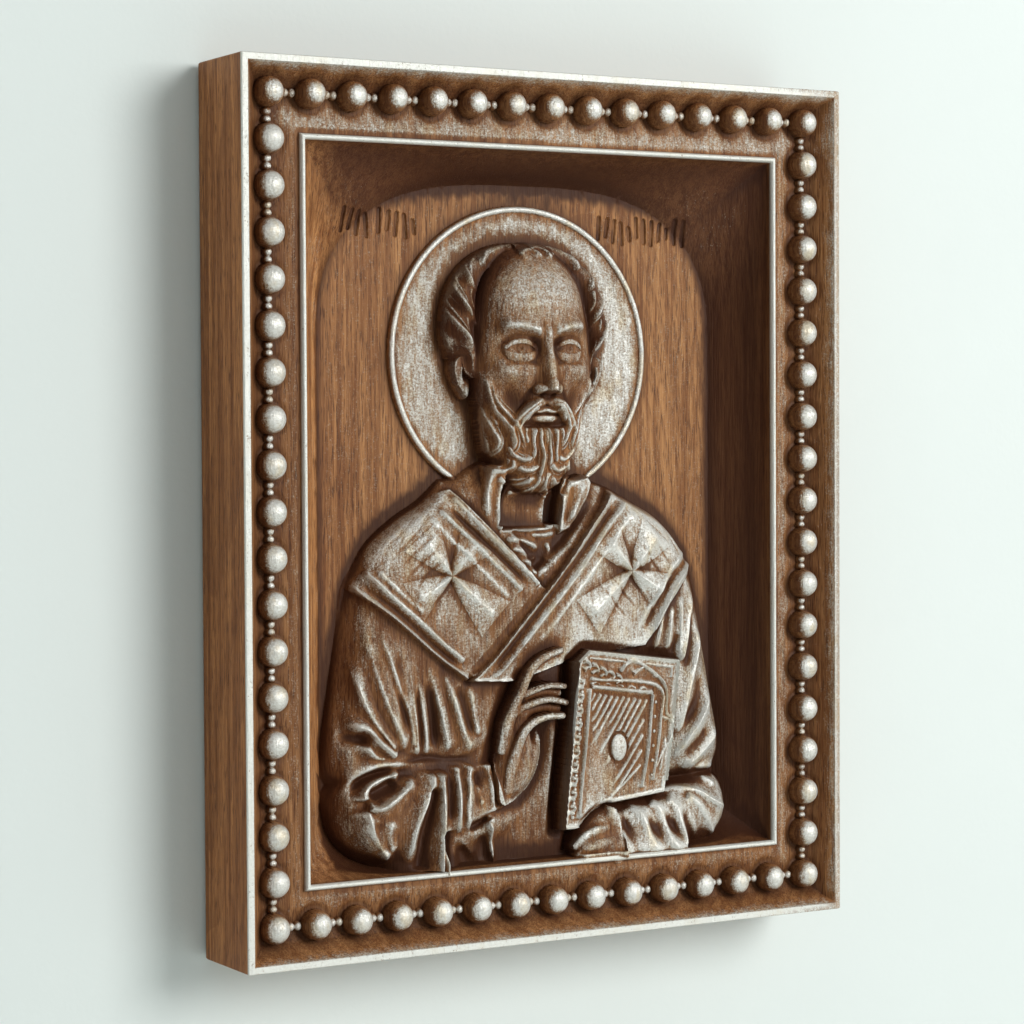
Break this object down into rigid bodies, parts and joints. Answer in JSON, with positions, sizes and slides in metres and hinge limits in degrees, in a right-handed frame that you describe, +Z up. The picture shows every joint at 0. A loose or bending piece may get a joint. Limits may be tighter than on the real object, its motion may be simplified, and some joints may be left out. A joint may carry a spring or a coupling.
{
  "type": "carved icon panel",
  "caption": "Rectangular wooden icon panel carved in relief: a haloed robed half figure with book in a coved niche, inside a beaded frame.",
  "frame": {"origin": "on the flat back, at the middle of the panel's width and 12 mm below its top edge, where it is held on the wall", "axes": "+X to the viewer's right along the width, +Z up along the height, -Y out of the carved front; the back lies at Y = 0"},
  "size_m": [0.24, 0.036, 0.3],
  "materials": {
    "carved_wood": "dark stained wood with a silver dry-brushed patina on the high edges"
  },
  "bodies": {
    "root": {"icon_panel": "carved_wood"}
  },
  "joints": []
}
